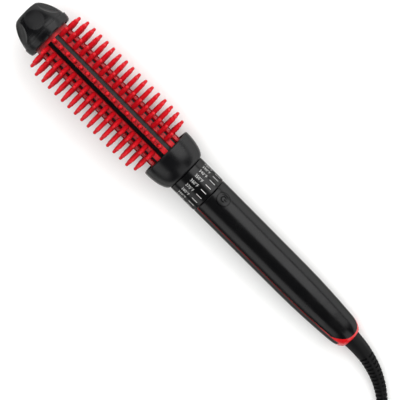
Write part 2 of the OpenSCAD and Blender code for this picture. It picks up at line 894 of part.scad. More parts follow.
// The strain relief follows one curve from the handle's tail to the cord
relief_smooth = 0.26;
relief_ribs = 14;
relief_groove = 0.7;
relief_smooth_stations = [0, 0.005, 0.06, 0.13, 0.2];
function relief_curve(t) =
    let (
        a = tail_point, d = lead_points[0],
        b = a + 22 * tail_way, c = d - 22 * unit(lead_points[1] - lead_points[0])
    )
    a * (1 - t) ^ 3 + 3 * b * t * (1 - t) ^ 2 + 3 * c * t ^ 2 * (1 - t) + d * t ^ 3;
relief_stations = concat(
    relief_smooth_stations,
    [for (k = [0 : relief_ribs - 1], part = [0, 0.12, 0.5, 0.62])
        relief_smooth + (1 - relief_smooth) * (k + part) / relief_ribs],
    [1]
);
function relief_r(i) =
    let (t = relief_stations[i], taper = relief_d / 2 + (relief_end_d - relief_d) / 2 * t ^ 0.85)
    let (part = (i - len(relief_smooth_stations)) % 4)
    part == 1 || part == 2 ? taper - relief_groove : taper;

module strain_relief() {
    color(black_satin)
        swept_tube(
            [for (t = relief_stations) relief_curve(t)],
            [for (i = [0 : len(relief_stations) - 1]) relief_r(i)],
            16
        );
}

module cord_lead() {
    color(black_satin) swept_tube(lead_points, [for (p = lead_points) cord_d / 2], 8);
}

module cord_end() {
    color(black_satin) swept_tube(end_points, [for (p = end_points) cord_d / 2], 8);
}

// Corner points of a rectangle with round corners, for the bundle of turns and its tie
function round_box(x0, x1, y0, y1, r) = [
    for (corner = [[x1 - r, y1 - r, 0], [x0 + r, y1 - r, 90], [x0 + r, y0 + r, 180], [x1 - r, y0 + r, 270]])
        for (k = [0 : 4])
            [corner[0] + r * cos(corner[2] + 22.5 * k), corner[1] + r * sin(corner[2] + 22.5 * k)]
];

module cord_coil() {
    color(black_satin)
        translate([coil_centre[0], coil_centre[1], 0])
            rotate_extrude()
                polygon(round_box(coil_r - bundle / 2, coil_r + bundle / 2, tie_t, coil_top, cord_d / 2));
}

// A twist tie round the bundle, with its two ends turned together on top
module cord_tie() {
    half = bundle / 2;
    side_gap = 0.2;
    color("#E8E8E4")
        translate([coil_centre[0], coil_centre[1], 0])
            rotate([0, 0, 275])
                translate([coil_r, 0, 0])
                    rotate([90, 0, 0])
                        difference() {
                            translate([0, 0, -2.5])
                                linear_extrude(5)
                                    polygon(round_box(-half - side_gap - tie_t, half + side_gap + tie_t, 0,
                                                      coil_top + tie_t, cord_d / 2 + tie_t));
                            translate([0, 0, -4])
                                linear_extrude(8)
                                    polygon(round_box(-half - side_gap, half + side_gap, tie_t, coil_top,
                                                      cord_d / 2));
                        }
}

// Places a plug drawn with its face at the origin and its blades along +x
module place_plug() {
    last = end_points[len(end_points) - 1];
    reach = plug_tail + plug_l_body;
    translate([last[0] + reach * cos(plug_yaw), last[1] + reach * sin(plug_yaw), last[2]])
        rotate([0, 0, plug_yaw])
            children();
}

module plug_body() {
    back = -plug_l_body;
    color(black_satin) place_plug()
        union() {
            intersection() {
                // seen from above: a waist for the fingers behind a full-width face
                translate([0, 0, -plug_h])
                    linear_extrude(2 * plug_h)
                        polygon([
                            [0, -plug_w / 2 + 1.5], [0, plug_w / 2 - 1.5], [-1.5, plug_w / 2], [-7, plug_w / 2],
                            [-11, plug_w / 2 - 2], [-20, plug_w / 2 - 3.2], [back + 3, plug_w / 2 - 4.5],
                            [back, plug_w / 2 - 7], [back, 7 - plug_w / 2], [back + 3, 4.5 - plug_w / 2],
                            [-20, 3.2 - plug_w / 2], [-11, 2 - plug_w / 2], [-7, -plug_w / 2], [-1.5, -plug_w / 2]
                        ]);
                // seen from the side
                rotate([90, 0, 0])
                    translate([0, 0, -plug_w])
                        linear_extrude(2 * plug_w)
                            polygon([
                                [0, 1 - plug_h / 2], [0, plug_h / 2 - 1], [-1, plug_h / 2], [-10, plug_h / 2],
                                [-22, plug_h / 2 - 1.5], [back, plug_h / 2 - 3], [back, 3 - plug_h / 2],
                                [-22, 1.5 - plug_h / 2], [-10, -plug_h / 2], [-1, -plug_h / 2]
                            ]);
            }
            // tapered tail over the cord
            translate([back - plug_tail, 0, 0])
                rotate([0, 90, 0])
                    cylinder(r1 = cord_d / 2 + 0.6, r2 = cord_d / 2 + 1.8, h = plug_tail + 0.1);
        }
}

module plug_blades() {
    color(brass) place_plug()
        for (y = [-blade_gap / 2, blade_gap / 2])
            difference() {
                translate([0, y - blade_t / 2, -blade_w / 2]) cube([blade_l, blade_t, blade_w]);
                // the hole near the end of each blade
                translate([blade_l - 4.4, y + blade_t, 0]) rotate([90, 0, 0]) cylinder(r = 1.6, h = 2 * blade_t);
            }
}

tip_cap();
tip_insulator();
cap_screw();
silicone_tip_ring();
barrel_tube();
bristle_strip(1);  // bristle_strip_01
bristle_strip(2);  // bristle_strip_02
bristle_strip(3);  // bristle_strip_03
bristle_strip(4);  // bristle_strip_04
bristle_strip(5);  // bristle_strip_05
bristle_strip(6);  // bristle_strip_06
bristle_strip(7);  // bristle_strip_07
bristle_strip(8);  // bristle_strip_08
bristle_strip(9);  // bristle_strip_09
bristle_strip(10);  // bristle_strip_10
bristle_strip(11);  // bristle_strip_11
bristle_strip(12);  // bristle_strip_12
heat_spreader_front();
heat_spreader_rear();
ptc_heater();
insulation_film();
thermistor();
thermal_fuse();
heater_leads();
barrel_socket();
collar();
temperature_dial();
dial_wiper();
track_ring();
detent_spring();
handle_front_cover();
handle_rear_shell();
red_trim();
power_button();
switch_plunger();
tact_switch();
control_board();
board_parts();
handle_screws();
swivel_hub();
slip_rings();
contact_springs();
contact_block();
strain_relief();
cord_lead();
cord_coil();
cord_end();
cord_tie();
plug_body();
plug_blades();
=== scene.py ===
import json
import math

import bmesh
import bpy
from bpy.props import FloatProperty, FloatVectorProperty, IntProperty, PointerProperty
from bpy.types import Operator, Panel, PropertyGroup
from mathutils import Matrix, Vector


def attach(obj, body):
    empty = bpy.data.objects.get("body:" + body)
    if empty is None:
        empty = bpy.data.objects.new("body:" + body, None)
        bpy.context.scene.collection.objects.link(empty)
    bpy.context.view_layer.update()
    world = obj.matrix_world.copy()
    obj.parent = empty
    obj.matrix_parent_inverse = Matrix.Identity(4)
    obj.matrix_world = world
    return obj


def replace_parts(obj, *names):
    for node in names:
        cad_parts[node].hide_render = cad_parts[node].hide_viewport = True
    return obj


bl_info = {
    "name": "Heated Styling Brush",
    "version": (1, 0, 0),
    "blender": (4, 5, 0),
    "location": "View3D > Sidebar > Styling Brush",
    "description": "Finishes and fine pieces of a heated styling brush, on its CAD frame",
    "category": "Add Mesh",
}

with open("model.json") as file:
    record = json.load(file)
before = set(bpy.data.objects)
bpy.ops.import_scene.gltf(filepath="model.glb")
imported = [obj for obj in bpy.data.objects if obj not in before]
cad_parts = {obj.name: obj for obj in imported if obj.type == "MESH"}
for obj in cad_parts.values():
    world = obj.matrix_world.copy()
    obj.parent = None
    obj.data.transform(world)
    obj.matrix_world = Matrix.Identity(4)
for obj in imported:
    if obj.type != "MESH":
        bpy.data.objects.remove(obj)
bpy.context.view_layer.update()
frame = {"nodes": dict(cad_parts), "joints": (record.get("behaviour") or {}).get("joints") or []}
NODES = frame["nodes"]
JOINTS = {joint["name"]: joint for joint in frame["joints"]}

# ---- The brush's own axes, from the frame's joints ----

MM = 0.001
# Places along the brush are measured from the tip of the cap
DIAL_START = 156.5 * MM
DIAL_MIDDLE = 167.7 * MM
DIAL_RADIUS = 14.75 * MM
BUTTON_PLACE = 187.6 * MM
# From the brush's axis to the button's face
BUTTON_RADIUS = 14.63 * MM
# Where the bend relief leaves the handle
RELIEF_PLACE = 322.4 * MM
# Turn of the front bristle row from the middle of the handle's front cover
COVER_TURN = math.radians(22)
AXIS = Vector(JOINTS["dial_turn"]["axis"]).normalized()
DIAL_CENTRE = Vector(JOINTS["dial_turn"]["pos_m"])
COVER_OUT = -Vector(JOINTS["button_press"]["axis"]).normalized()
COVER_SIDE = AXIS.cross(COVER_OUT)
FRONT = math.cos(COVER_TURN) * COVER_OUT + math.sin(COVER_TURN) * COVER_SIDE
LEFT = AXIS.cross(FRONT)


def on_brush(place, radius, angle):
    """Point at a place along the brush, a radius, and an angle in radians from the front row."""
    out = math.cos(angle) * FRONT + math.sin(angle) * LEFT
    return DIAL_CENTRE + AXIS * (place - DIAL_MIDDLE) + out * radius


# ---- Route of the cord, as in the CAD source ----

LEAD_POINTS = [
    (-0.216, 0.0216, 0.004), (-0.227, 0.0315, 0.0037), (-0.2395, 0.0405, 0.0035),
    (-0.2525, 0.0478, 0.0035), (-0.2665, 0.0525, 0.0035),
]
END_POINTS = [
    (-0.251, 0.0005, 0.0195), (-0.2455, 0.013, 0.021), (-0.2445, 0.025, 0.0215),
    (-0.2475, 0.0365, 0.0215), (-0.2545, 0.046, 0.0218), (-0.2645, 0.0508, 0.0226),
    (-0.2755, 0.051, 0.0238), (-0.2835, 0.048, 0.0252), (-0.2896, 0.0419, 0.0262),
    (-0.2915, 0.038, 0.0265),
]
# The coil's first turn, then how far round it the cord joins, in degrees
COIL_CENTRE = (-0.280, 0.016)
COIL_RADIUS_MM = 39.0
COIL_HEIGHT_MM = 3.5
COIL_START = 70.0
COIL_TURNS = 7.73
COIL_POINTS_PER_TURN = 20
# Turn count where the cord starts and ends each move, then how far it moves out and up in mm
COIL_MOVES = [
    (0.88, 1.00, -6, 0), (1.88, 2.00, -6, 0), (2.76, 2.88, 0, 6), (3.62, 3.76, 6, 0),
    (4.62, 4.76, 6, 0), (5.48, 5.62, 0, 6), (6.34, 6.48, -6, 0), (7.20, 7.34, -6, 0),
    (7.42, 7.73, 6, 4),
]
TAIL_POINT = DIAL_CENTRE + AXIS * (RELIEF_PLACE - DIAL_MIDDLE)
# Which way the plug points on the coil
PLUG_YAW = math.radians(245)


def ease(t):
    """Smooth step from 0 to 1."""
    t = min(1.0, max(0.0, t))
    return t * t * (3 - 2 * t)


def coil_points():
    """Points of the coil's turns, between the lead and the end."""
    count = round(COIL_TURNS * COIL_POINTS_PER_TURN)
    points = []
    for k in range(1, count):
        turn = COIL_TURNS * k / count
        radius, height = COIL_RADIUS_MM, COIL_HEIGHT_MM
        for start, stop, out, up in COIL_MOVES:
            share = ease((turn - start) / (stop - start))
            radius += out * share
            height += up * share
        angle = math.radians(COIL_START + 360 * turn)
        points.append((
            COIL_CENTRE[0] + radius * MM * math.cos(angle),
            COIL_CENTRE[1] + radius * MM * math.sin(angle),
            height * MM,
        ))
    return points


# ---- Colours and shader nodes ----

# Width of the handling smudges that vary gloss and tone
SMUDGE_MM = 14.0
# Pointiness of an edge where wear starts, and where it is full
WEAR_FROM, WEAR_FULL = 0.52, 0.62
# Share of open space where the painted shade in a crevice is darkest, and where there is none
PAINTED_SHADE_FULL, PAINTED_SHADE_NONE = 0.42, 0.92
# How far a surface has turned away where its gloss starts to drop, and where it has dropped
DROP_FROM, DROP_FULL = 0.3, 0.6
# Sockets of a Mix node that mixes colours
MIX_SHARE, MIX_A, MIX_B, MIX_RESULT = 0, 6, 7, 2


def linear(code):
    """Linear RGB of an sRGB hex code."""
    parts = [int(code[k:k + 2], 16) / 255 for k in (1, 3, 5)]
    return [p / 12.92 if p <= 0.04045 else ((p + 0.055) / 1.055) ** 2.4 for p in parts]


def add_node(tree, kind, settings=None):
    """Adds a node. A setting is a property, or an input's value or the socket linked to it.

    An input goes by its name, or by its number where the name isn't the only one.
    """
    node = tree.nodes.new(kind)
    for name, value in (settings or {}).items():
        if isinstance(name, str) and hasattr(node, name):
            setattr(node, name, value)
        elif isinstance(value, bpy.types.NodeSocket):
            tree.links.new(value, node.inputs[name])
        else:
            node.inputs[name].default_value = value
    return node


def surface_finish(name, colour, roughness, grain_mm, depth_mm, spread=0.05, tone=0.12,
                   wear=0.0, stretch=(1, 1, 1), shader=None, painted_shade_mm=0.0,
                   painted_shade_tone=0.1, edge_gloss=None):
    """A finish with surface grain in bump, and smudges that vary its gloss and tone.

    grain_mm and depth_mm are the grain's real width and height. spread is how far the
    roughness varies, tone how far the colour does, and wear how much the edges lighten.
    painted_shade_mm is how deep a crevice is that gets painted shade, and painted_shade_tone the
    colour of that shade.
    edge_gloss is the specular level that is left where the surface turns away.
    """
    found = bpy.data.materials.get(name)
    if found:
        return found
    material = bpy.data.materials.new(name)
    material.use_nodes = True
    tree = material.node_tree
    bsdf = tree.nodes["Principled BSDF"]
    for socket, value in (shader or {}).items():
        bsdf.inputs[socket].default_value = value
    place = add_node(tree, "ShaderNodeTexCoord").outputs["Object"]
    pull = add_node(tree, "ShaderNodeMapping", {"Vector": place, "Scale": stretch})
    grain = add_node(tree, "ShaderNodeTexNoise", {
        "Vector": pull.outputs["Vector"], "Scale": 1 / (grain_mm * MM), "Detail": 2.0,
    })
    smudge = add_node(tree, "ShaderNodeTexNoise", {
        "Vector": place, "Scale": 1 / (SMUDGE_MM * MM), "Detail": 3.0, "Roughness": 0.6,
    })
    gloss = add_node(tree, "ShaderNodeMapRange", {
        "Value": smudge.outputs["Fac"], "From Min": 0.3, "From Max": 0.7,
        "To Min": max(0.02, roughness - spread), "To Max": roughness + spread,
    })
    tree.links.new(gloss.outputs["Result"], bsdf.inputs["Roughness"])
    out = add_node(tree, "ShaderNodeMix", {
        "data_type": "RGBA", MIX_SHARE: smudge.outputs["Fac"],
        MIX_A: (*[c * (1 - tone) for c in colour], 1.0), MIX_B: (*colour, 1.0),
    }).outputs[MIX_RESULT]
    if wear:
        edge = add_node(tree, "ShaderNodeNewGeometry").outputs["Pointiness"]
        rub = add_node(tree, "ShaderNodeMapRange", {
            "Value": edge, "From Min": WEAR_FROM, "From Max": WEAR_FULL, "To Max": wear,
        })
        out = add_node(tree, "ShaderNodeMix", {
            "data_type": "RGBA", MIX_SHARE: rub.outputs["Result"],
            MIX_A: out, MIX_B: (*[c * 0.5 + 0.12 for c in colour], 1.0),
        }).outputs[MIX_RESULT]
    # Painted shade: the colour darkens where little open space is around the surface, standing in
    # for the shade in crevices such as between the bristles
    if painted_shade_mm:
        cover = add_node(tree, "ShaderNodeAmbientOcclusion", {
            "samples": 8, "Distance": painted_shade_mm * MM,
        })
        open_share = add_node(tree, "ShaderNodeMapRange", {
            "Value": cover.outputs["AO"], "From Min": PAINTED_SHADE_FULL, "From Max": PAINTED_SHADE_NONE,
        })
        out = add_node(tree, "ShaderNodeMix", {
            "data_type": "RGBA", MIX_SHARE: open_share.outputs["Result"],
            MIX_A: (*[c * painted_shade_tone for c in colour], 1.0), MIX_B: out,
        }).outputs[MIX_RESULT]
    tree.links.new(out, bsdf.inputs["Base Color"])
    if edge_gloss is not None:
        turn = add_node(tree, "ShaderNodeLayerWeight", {"Blend": 0.5}).outputs["Facing"]
        level = add_node(tree, "ShaderNodeMapRange", {
            "Value": turn, "From Min": DROP_FROM, "From Max": DROP_FULL,
            "To Min": bsdf.inputs["Specular IOR Level"].default_value, "To Max": edge_gloss,
        })
        tree.links.new(level.outputs["Result"], bsdf.inputs["Specular IOR Level"])
    bump = add_node(tree, "ShaderNodeBump", {
        "Height": grain.outputs["Fac"], "Distance": depth_mm * MM, "Strength": 1.0,
    })
    tree.links.new(bump.outputs["Normal"], bsdf.inputs["Normal"])
    return material


def polished_abs(colours):
    """Polished black ABS: a hard clear gloss, with faint swirls from wiping."""
    return surface_finish("abs_black_polished", colours.gloss_black, 0.24, 1.2, 0.002, spread=0.04,
                          edge_gloss=0.02, shader={"IOR": 1.5, "Specular IOR Level": 0.38})


def etched_abs(colours):
    """Black ABS from an etched part of the mould: a dead matt beside the polish."""
    return surface_finish("abs_black_etched", colours.gloss_black, 0.75, 0.3, 0.02,
                          shader={"Specular IOR Level": 0.1})


def textured_nylon(colours):
    """Glass-filled nylon from a spark-eroded mould: an even satin with a fine grain."""
    return surface_finish("nylon_black_satin", colours.satin_black, 0.3, 0.35, 0.005,
                          spread=0.05, wear=0.12, edge_gloss=0.04,
                          shader={"IOR": 1.53, "Specular IOR Level": 0.33})


def ceramic_coat(colours):
    """Ceramic coat sprayed on aluminium: dark, smooth, with a slight orange peel."""
    return surface_finish("ceramic_coat_black", colours.coat_black, 0.3, 1.6, 0.006, spread=0.05,
                          shader={"IOR": 1.55, "Specular IOR Level": 0.3})


def moulded_silicone(colours):
    """Moulded silicone rubber: soft, with a dull sheen, and painted shade deep between the
    bristles.
    """
    return surface_finish("silicone_red_moulded", colours.silicone_red, 0.45, 0.5, 0.008,
                          spread=0.08, painted_shade_mm=4.0, painted_shade_tone=0.12, shader={"IOR": 1.41})


def glossy_trim(colours):
    """Polished red polycarbonate: bright and clear at its edges."""
    return surface_finish("polycarbonate_red_polished", colours.trim_red, 0.22, 1.0, 0.003,
                          shader={"IOR": 1.58})


def flexible_pvc(colours):
    """Extruded and moulded flexible PVC: dull black with a faint lengthwise drag."""
    return surface_finish("pvc_black_flexible", colours.cord_black, 0.5, 0.6, 0.01, spread=0.08,
                          edge_gloss=0.05, shader={"IOR": 1.53, "Specular IOR Level": 0.22})


def printed_ink(colours):
    """Pad-printed ink: flat white, slightly uneven."""
    return surface_finish("ink_white_printed", colours.print_white, 0.55, 0.2, 0.004, tone=0.15)


def rolled_brass():
    """Rolled brass: a warm yellow metal with fine lines along the strip."""
    return surface_finish("brass_rolled", linear("#C8A45C"), 0.28, 0.3, 0.003,
                          stretch=(0.1, 1, 1), shader={"Metallic": 1.0})


def inner_finishes():
    """Finishes of the inner pieces, by the node's name."""
    # Extruded aluminium: pale grey metal, with die lines along it
    aluminium = surface_finish("aluminium_extruded", linear("#B6B8BA"), 0.32, 0.3, 0.006,
                               stretch=(0.05, 1, 1), shader={"Metallic": 1.0})
    # Zinc-plated steel: a cool, slightly cloudy metal
    steel = surface_finish("steel_zinc_plated", linear("#A9ACB0"), 0.3, 0.4, 0.004,
                           shader={"Metallic": 1.0})
    brass = rolled_brass()
    # Pressed and fired ceramic: off-white, dry and finely pitted
    ceramic = surface_finish("ceramic_unglazed", linear("#DAD5C8"), 0.7, 0.4, 0.02)
    # Polyimide film: clear amber, with a smooth gloss
    film = surface_finish("polyimide_film", linear("#B8741C"), 0.25, 0.8, 0.004,
                          shader={"Alpha": 0.9, "IOR": 1.7})
    # Dipped epoxy: a black drop with a wet look
    bead = surface_finish("epoxy_bead", linear("#1C1C1E"), 0.35, 0.6, 0.01)
    # Solder mask on fibreglass: green, semi-gloss, with the weave just felt
    board = surface_finish("fibreglass_solder_mask", linear("#1B5A36"), 0.35, 0.5, 0.01)
    # Transfer-moulded epoxy cases: dark grey and matt
    case = surface_finish("component_epoxy_case", linear("#232427"), 0.5, 0.25, 0.01)
    # Braided glass fibre: dull white, coarse threads
    sleeve = surface_finish("glass_fibre_sleeve", linear("#C9C6BC"), 0.7, 0.5, 0.04)
    # Turned acetal: black and waxy, with faint tool marks
    hub = surface_finish("acetal_black_turned", linear("#161617"), 0.35, 0.4, 0.005)
    return {
        "heat_spreader_front": aluminium, "heat_spreader_rear": aluminium,
        "cap_screw": steel, "handle_screws": steel, "detent_spring": steel,
        "thermal_fuse": steel, "tact_switch": steel, "dial_wiper": brass,
        "slip_rings": brass, "contact_springs": brass, "ptc_heater": ceramic,
        "tip_insulator": ceramic, "insulation_film": film, "thermistor": bead,
        "control_board": board, "track_ring": board, "board_parts": case,
        "heater_leads": sleeve, "swivel_hub": hub, "contact_block": hub,
        "switch_plunger": hub,
    }


# ---- Mesh helpers ----


def paint(thing, material):
    """Gives an object one material."""
    thing.data.materials.clear()
    thing.data.materials.append(material)


def mesh_piece(name, points, faces, material, body, sharp=40.0):
    """A mesh object in the frame's axes that rides on a body.

    sharp is the angle in degrees from which an edge between two faces is drawn as a crease.
    """
    mesh = bpy.data.meshes.new(name)
    mesh.from_pydata([tuple(p) for p in points], [], faces)
    mesh.validate()
    work = bmesh.new()
    work.from_mesh(mesh)
    bmesh.ops.remove_doubles(work, verts=work.verts, dist=1e-7)
    bmesh.ops.recalc_face_normals(work, faces=work.faces)
    for edge in work.edges:
        if len(edge.link_faces) == 2:
            edge.smooth = edge.calc_face_angle(0) < math.radians(sharp)
    for face in work.faces:
        face.smooth = True
    work.to_mesh(mesh)
    work.free()
    piece = bpy.data.objects.new(name, mesh)
    bpy.context.scene.collection.objects.link(piece)
    paint(piece, material)
    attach(piece, body)
    return piece


def loft(rings):
    """Points and faces of a closed skin over rings with the same number of points."""
    size = len(rings[0])
    points = [p for ring in rings for p in ring]
    faces = [tuple(range(size - 1, -1, -1))]
    for r in range(len(rings) - 1):
        for k in range(size):
            n = (k + 1) % size
            faces.append((r * size + k, r * size + n, (r + 1) * size + n, (r + 1) * size + k))
    faces.append(tuple((len(rings) - 1) * size + k for k in range(size)))
    return points, faces


def add_skin(points, faces, rings):
    """Adds the skin over some rings to a mesh's points and faces."""
    base = len(points)
    more, skin = loft(rings)
    points += more
    faces += [tuple(base + k for k in face) for face in skin]


# ---- Sizes and colours ----


class StylingBrushSizes(PropertyGroup):
    """Sizes of the fine pieces."""

    print_height: FloatProperty(name="Number height", description="Height of the dial's numbers",
                                default=2.35 * MM, unit="LENGTH", subtype="DISTANCE")
    print_thickness: FloatProperty(name="Print thickness", description="How far print stands out",
                                   default=0.04 * MM, unit="LENGTH", subtype="DISTANCE")
    tick_length: FloatProperty(name="Mark length", description="Length of the dial's marks",
                               default=4.95 * MM, unit="LENGTH", subtype="DISTANCE")
    tick_width: FloatProperty(name="Mark width", description="Width of the dial's marks",
                              default=0.38 * MM, unit="LENGTH", subtype="DISTANCE")
    first_number: IntProperty(name="Lowest number", description="Lowest temperature on the dial",
                              default=290)
    number_step: IntProperty(name="Number step", description="Step between the dial's numbers",
                             default=10)
    number_count: IntProperty(name="Numbers", description="Count of the dial's numbers",
                              default=15)
    sign_diameter: FloatProperty(name="Sign diameter", description="Diameter of the power sign",
                                 default=4.4 * MM, unit="LENGTH", subtype="DISTANCE")
    sign_stroke: FloatProperty(name="Sign stroke", description="Line width of the power sign",
                               default=0.7 * MM, unit="LENGTH", subtype="DISTANCE")
    cord_diameter: FloatProperty(name="Cord diameter", description="Diameter of the mains cord",
                                 default=6.0 * MM, unit="LENGTH", subtype="DISTANCE")
    relief_diameter: FloatProperty(name="Relief diameter",
                                   description="Diameter of the strain relief at the handle",
                                   default=13.7 * MM, unit="LENGTH", subtype="DISTANCE")
    relief_end: FloatProperty(name="Relief end", description="Diameter where the cord leaves it",
                              default=7.5 * MM, unit="LENGTH", subtype="DISTANCE")


class StylingBrushColours(PropertyGroup):
    """Colours of the outer pieces."""

    gloss_black: FloatVectorProperty(name="Gloss black", description="Handle, dial and button",
                                     default=linear("#070708"), subtype="COLOR")
    satin_black: FloatVectorProperty(name="Satin black", description="Cap and collar",
                                     default=linear("#08080A"), subtype="COLOR")
    coat_black: FloatVectorProperty(name="Coat black", description="Barrel",
                                    default=linear("#060708"), subtype="COLOR")
    silicone_red: FloatVectorProperty(name="Silicone red", description="Bristles",
                                      default=linear("#CC0E1C"), subtype="COLOR")
    trim_red: FloatVectorProperty(name="Trim red", description="Trim line and tail ring",
                                  default=linear("#D8121A"), subtype="COLOR")
    cord_black: FloatVectorProperty(name="Cord black", description="Cord, relief and plug",
                                    default=linear("#09090A"), subtype="COLOR")
    print_white: FloatVectorProperty(name="Print white", description="Numbers and marks",
                                     default=linear("#D2D2D0"), subtype="COLOR")
    floor_white: FloatVectorProperty(name="Floor", description="Floor under the brush",
                                     default=linear("#FAFAF9"), subtype="COLOR")


# ---- Stage ----

# What the camera looks at, as a place along the brush and a distance to its left
TARGET = on_brush(177.5 * MM, 6.5 * MM, math.radians(90))
# The camera looks square on to the front row, and leans a little to the tip's side
CAMERA_LEAN = math.radians(5)
CAMERA_DISTANCE = 1.0
CAMERA_LENS_MM = 128.6
CAMERA_SENSOR_MM = 36.0
# Soft boxes: name, radiance, side that they stand to, degrees from the camera's line to there,
# then width, length and distance in metres
SOFT_BOXES = [
    ("light_key", 2.0, -LEFT, 42, 1.25, 1.5, 1.35),
    ("light_fill", 1.2, LEFT, 66, 0.9, 1.5, 1.35),
    ("light_tip", 1.0, -AXIS, 62, 1.4, 1.0, 1.5),
    ("light_tail", 1.0, AXIS, 60, 1.4, 1.0, 1.5),
    ("light_overhead", 2.9, -AXIS, 5, 1.6, 1.6, 1.45),
]
# Even light from all round
WORLD_STRENGTH = 0.06
# Half the floor's side
FLOOR_HALF = 3.0
# The floor lies this far under the brush's resting points, so that no faces coincide
FLOOR_GAP = 0.2 * MM


class STYLINGBRUSH_OT_stage(Operator):
    """Camera, floor and soft lights"""

    bl_idname = "styling_brush.stage"
    bl_label = "Stage"

    def execute(self, context):
        scene = context.scene
        colours = scene.styling_brush_colours
        scene.view_settings.view_transform = "Standard"
        toward = FRONT * math.cos(CAMERA_LEAN) - AXIS * math.sin(CAMERA_LEAN)
        along = -AXIS * math.cos(CAMERA_LEAN) - FRONT * math.sin(CAMERA_LEAN)
        right = -(along + LEFT).normalized()
        up = (along - LEFT).normalized()
        data = bpy.data.cameras.new("camera")
        data.sensor_width = CAMERA_SENSOR_MM
        data.lens = CAMERA_LENS_MM
        data.clip_start, data.clip_end = 0.05, 20.0
        camera = bpy.data.objects.new("camera", data)
        scene.collection.objects.link(camera)
        spin = Matrix((right, up, toward)).transposed().to_4x4()
        camera.matrix_world = Matrix.Translation(TARGET + toward * CAMERA_DISTANCE) @ spin
        scene.camera = camera

        for name, radiance, side, degrees, width, length, far in SOFT_BOXES:
            turn = math.radians(degrees)
            way = (toward * math.cos(turn) + side * math.sin(turn)).normalized()
            lamp = bpy.data.lights.new(name, "AREA")
            lamp.shape = "RECTANGLE"
            lamp.size, lamp.size_y = length, width
            lamp.energy = radiance * math.pi * width * length
            lamp.color = (1.0, 1.0, 1.0)
            light = bpy.data.objects.new(name, lamp)
            # the overhead box lights the floor and the colours, and isn't mirrored in the gloss
            light.visible_glossy = name != "light_overhead"
            scene.collection.objects.link(light)
            across = AXIS if abs(side.dot(LEFT)) > 0.5 else LEFT
            flat = (across - way * across.dot(way)).normalized()
            turned = Matrix((flat, way.cross(flat), way)).transposed().to_4x4()
            light.matrix_world = Matrix.Translation(TARGET + way * far) @ turned

        world = bpy.data.worlds.new("studio")
        world.use_nodes = True
        background = world.node_tree.nodes["Background"]
        background.inputs["Color"].default_value = (1, 1, 1, 1)
        background.inputs["Strength"].default_value = WORLD_STRENGTH
        scene.world = world

        # Smooth painted board: pale, matt, a trace of roller texture
        board = surface_finish("floor_painted_board", colours.floor_white, 0.8, 3.0, 0.02,
                               tone=0.01)
        half = FLOOR_HALF
        corners = [(-half, -half), (half, -half), (half, half), (-half, half)]
        mesh = bpy.data.meshes.new("floor")
        mesh.from_pydata([(x, y, -FLOOR_GAP) for x, y in corners], [], [(0, 1, 2, 3)])
        floor = bpy.data.objects.new("floor", mesh)
        scene.collection.objects.link(floor)
        paint(floor, board)
        return {"FINISHED"}


# ---- Cord, bend relief, plug and tie ----


class STYLINGBRUSH_OT_cord(Operator):
    """Mains cord with its bend relief, plug and tie"""

    bl_idname = "styling_brush.cord"
    bl_label = "Mains cord"

    def execute(self, context):
        sizes = context.scene.styling_brush_sizes
        colours = context.scene.styling_brush_colours
        points = LEAD_POINTS + coil_points() + END_POINTS
        data = bpy.data.curves.new("mains_cord", "CURVE")
        data.dimensions = "3D"
        data.bevel_depth = sizes.cord_diameter / 2
        data.bevel_resolution = 6
        data.resolution_u = 4
        data.use_fill_caps = True
        spline = data.splines.new("BEZIER")
        spline.bezier_points.add(len(points) - 1)
        for knot, point in zip(spline.bezier_points, points):
            knot.co = point
            knot.handle_left_type = knot.handle_right_type = "AUTO"
        cord = bpy.data.objects.new("mains_cord", data)
        context.scene.collection.objects.link(cord)
        paint(cord, flexible_pvc(colours))
        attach(cord, "swivel")
        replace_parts(cord, "cord_lead", "cord_coil", "cord_end")
        relief = bend_relief(sizes, colours)
        plug = plug_moulding(colours)
        tie = twist_tie()
        return {"FINISHED"}


# The relief goes straight on from the handle, and straight into the cord, over this reach
RELIEF_REACH = 22 * MM
# Share of its length that has no grooves, then how many ribs it has and how deep a groove is
RELIEF_SMOOTH = 0.26
RELIEF_RIBS = 14
RELIEF_GROOVE = 1.15 * MM
# Shares of one rib's length where its groove is deep, starts to rise and has ended
GROOVE_FULL, GROOVE_RISE, GROOVE_END = 0.18, 0.44, 0.56
# Points round one ring of a skin
RING_POINTS = 48


